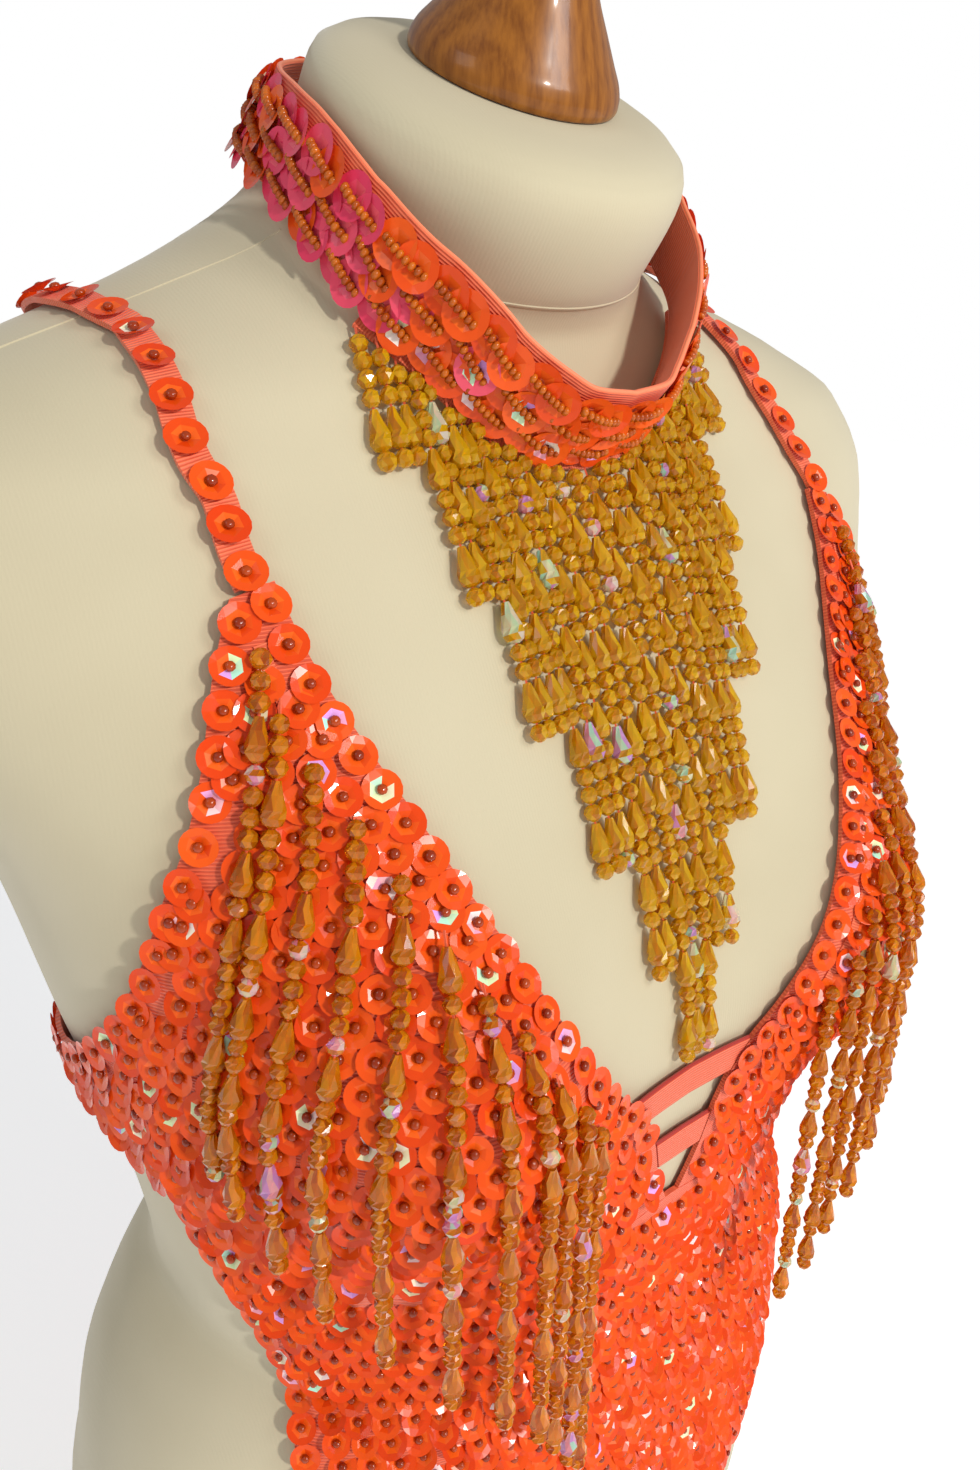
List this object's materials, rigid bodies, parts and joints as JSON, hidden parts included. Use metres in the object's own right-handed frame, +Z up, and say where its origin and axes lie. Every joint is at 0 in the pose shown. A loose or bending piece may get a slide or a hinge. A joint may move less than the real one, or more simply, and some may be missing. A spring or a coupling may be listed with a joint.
{
  "type": "showgirl leotard on a dress form",
  "caption": "Sequinned showgirl leotard with plunging cups, thin straps, a beaded collar and bead fringes, worn by a limbless dress form.",
  "frame": {"origin": "middle of the whole box on the table under the form", "axes": "+Z up, front of the garment faces -Y, +X towards the wearer's left"},
  "size_m": [0.376, 0.2814, 0.7934],
  "materials": {
    "jersey": "cream knitted jersey over padding",
    "wood": "varnished turned wood",
    "coral_cloth": "coral orange stretch cloth covered in iridescent sequins",
    "coral_ribbon": "ribbed coral ribbon with sequins and seed beads",
    "amber_beads": "faceted translucent amber beads, iridescent",
    "hook_metal": "plain plated hook"
  },
  "bodies": {
    "root": {"form_body": "jersey", "neck_cap": "wood", "cup_right": "coral_cloth", "cup_left": "coral_cloth", "front_body": "coral_cloth", "back_body": "coral_cloth", "gusset": "coral_cloth", "strap_right": "coral_ribbon", "strap_left": "coral_ribbon", "bar_upper": "coral_cloth", "bar_lower": "coral_cloth", "collar_band": "coral_ribbon", "collar_hook": "hook_metal", "collar_fringe": "amber_beads", "cup_fringe_right": "amber_beads", "cup_fringe_left": "amber_beads"}
  },
  "joints": []
}
